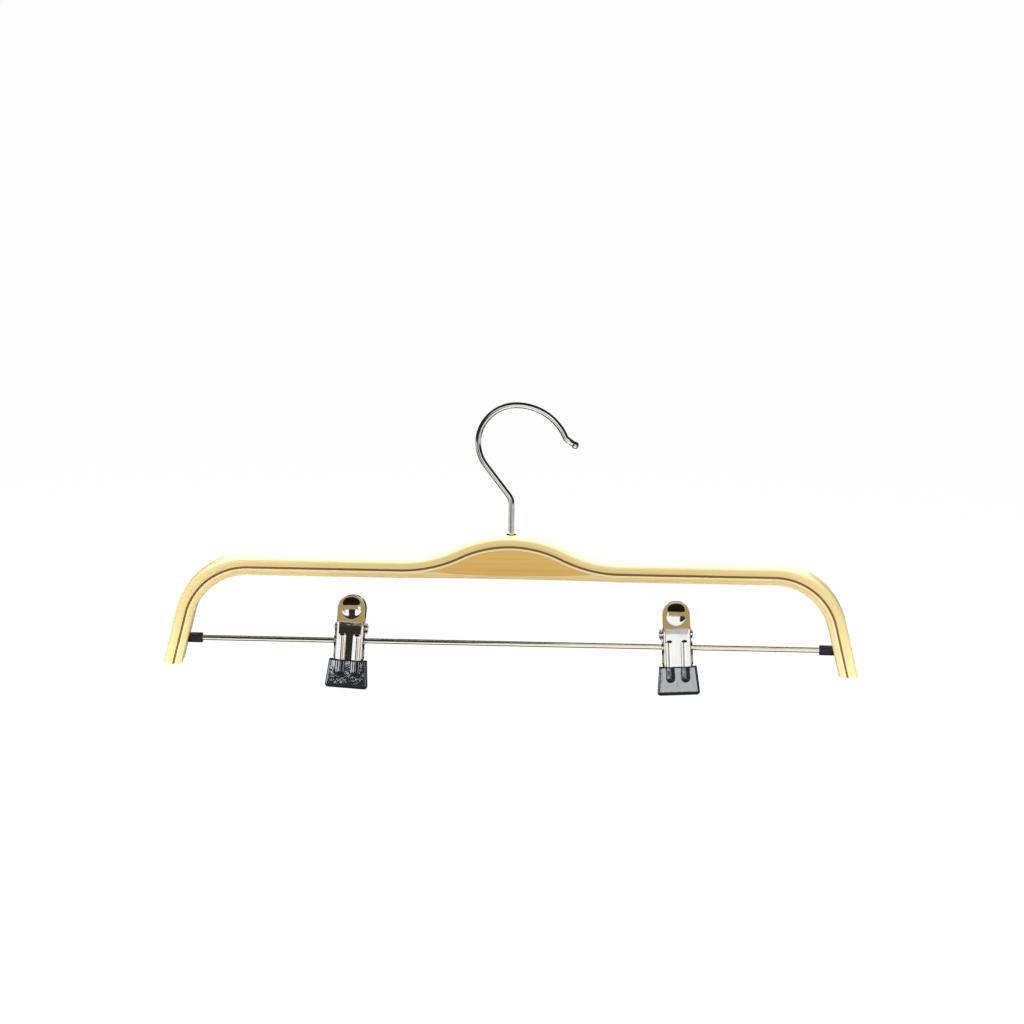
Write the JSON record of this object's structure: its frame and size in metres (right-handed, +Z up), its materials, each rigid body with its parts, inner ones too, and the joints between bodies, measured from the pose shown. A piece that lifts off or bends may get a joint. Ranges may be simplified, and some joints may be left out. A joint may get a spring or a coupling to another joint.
{
  "type": "wooden clip hanger",
  "caption": "Bent laminated wood hanger bow on a swivelling wire hook, with a rod between its arms that carries sliding spring clips in black boots.",
  "frame": {"origin": "on the inside of the hook's crook, straight above its shank, where a wardrobe rail bears", "axes": "+X along the rod, to the right as pictured; +Z up along the shank; the front faces -Y"},
  "size_m": [0.3794, 0.0242, 0.1612],
  "materials": {
    "pale_ply": "clear satin lacquer",
    "dark_veneer": "cut edge, lacquered",
    "inner_veneer": "cut edge, lacquered",
    "golden_block": "clear satin lacquer",
    "chrome_wire": "polished plating",
    "pressed_chrome": "polished plating",
    "spring_wire": "plain drawn wire",
    "black_rubber": "satin",
    "black_dip": "glossy dip coat"
  },
  "bodies": {
    "hook": {"hook": "chrome_wire"},
    "frame": {"outer_lamination": "pale_ply", "core_veneer": "dark_veneer", "inner_veneer": "inner_veneer", "lower_lamination": "pale_ply", "wedge_block": "golden_block", "hook_ferrule": "chrome_wire", "left_bar_cap": "black_rubber", "right_bar_cap": "black_rubber"},
    "bar": {"trouser_bar": "chrome_wire"},
    "left_clip": {"left_clip_rear_jaw": "pressed_chrome", "left_clip_rear_boot": "black_dip", "left_clip_hinge_pin": "pressed_chrome", "left_clip_spring": "spring_wire"},
    "left_front_jaw": {"left_clip_front_jaw": "pressed_chrome", "left_clip_front_boot": "black_dip"},
    "right_clip": {"right_clip_rear_jaw": "pressed_chrome", "right_clip_rear_boot": "black_dip", "right_clip_hinge_pin": "pressed_chrome", "right_clip_spring": "spring_wire"},
    "right_front_jaw": {"right_clip_front_jaw": "pressed_chrome", "right_clip_front_boot": "black_dip"}
  },
  "joints": [
    {"name": "hook_swivel", "type": "hinge", "parent": "hook", "child": "frame", "pos_m": [0, 0, -0.0713], "axis": [0, 0, 1], "continuous": true},
    {"name": "clips_swing_on_bar", "type": "hinge", "parent": "frame", "child": "bar", "pos_m": [0, 0, -0.1313], "axis": [1, 0, 0], "range_deg": [-110, 110]},
    {"name": "left_clip_slide", "type": "slide", "parent": "bar", "child": "left_clip", "axis": [1, 0, 0], "range_m": [-0.0716, 0.0748]},
    {"name": "left_jaw_open", "type": "hinge", "parent": "left_clip", "child": "left_front_jaw", "pos_m": [-0.08736, 0.00168, -0.12431], "axis": [-0.998, 0, 0.0628], "range_deg": [0, 28], "stiffness_Nm_per_rad": 0.15, "springref_deg": -34.38, "deforming": ["left_clip_spring"]},
    {"name": "right_clip_slide", "type": "slide", "parent": "bar", "child": "right_clip", "axis": [1, 0, 0], "range_m": [-0.0783, 0.0681]},
    {"name": "right_jaw_open", "type": "hinge", "parent": "right_clip", "child": "right_front_jaw", "pos_m": [0.09091, 0.00168, -0.12431], "axis": [-0.9984, 0, -0.0558], "range_deg": [0, 28], "stiffness_Nm_per_rad": 0.15, "springref_deg": -34.38, "deforming": ["right_clip_spring"]}
  ]
}
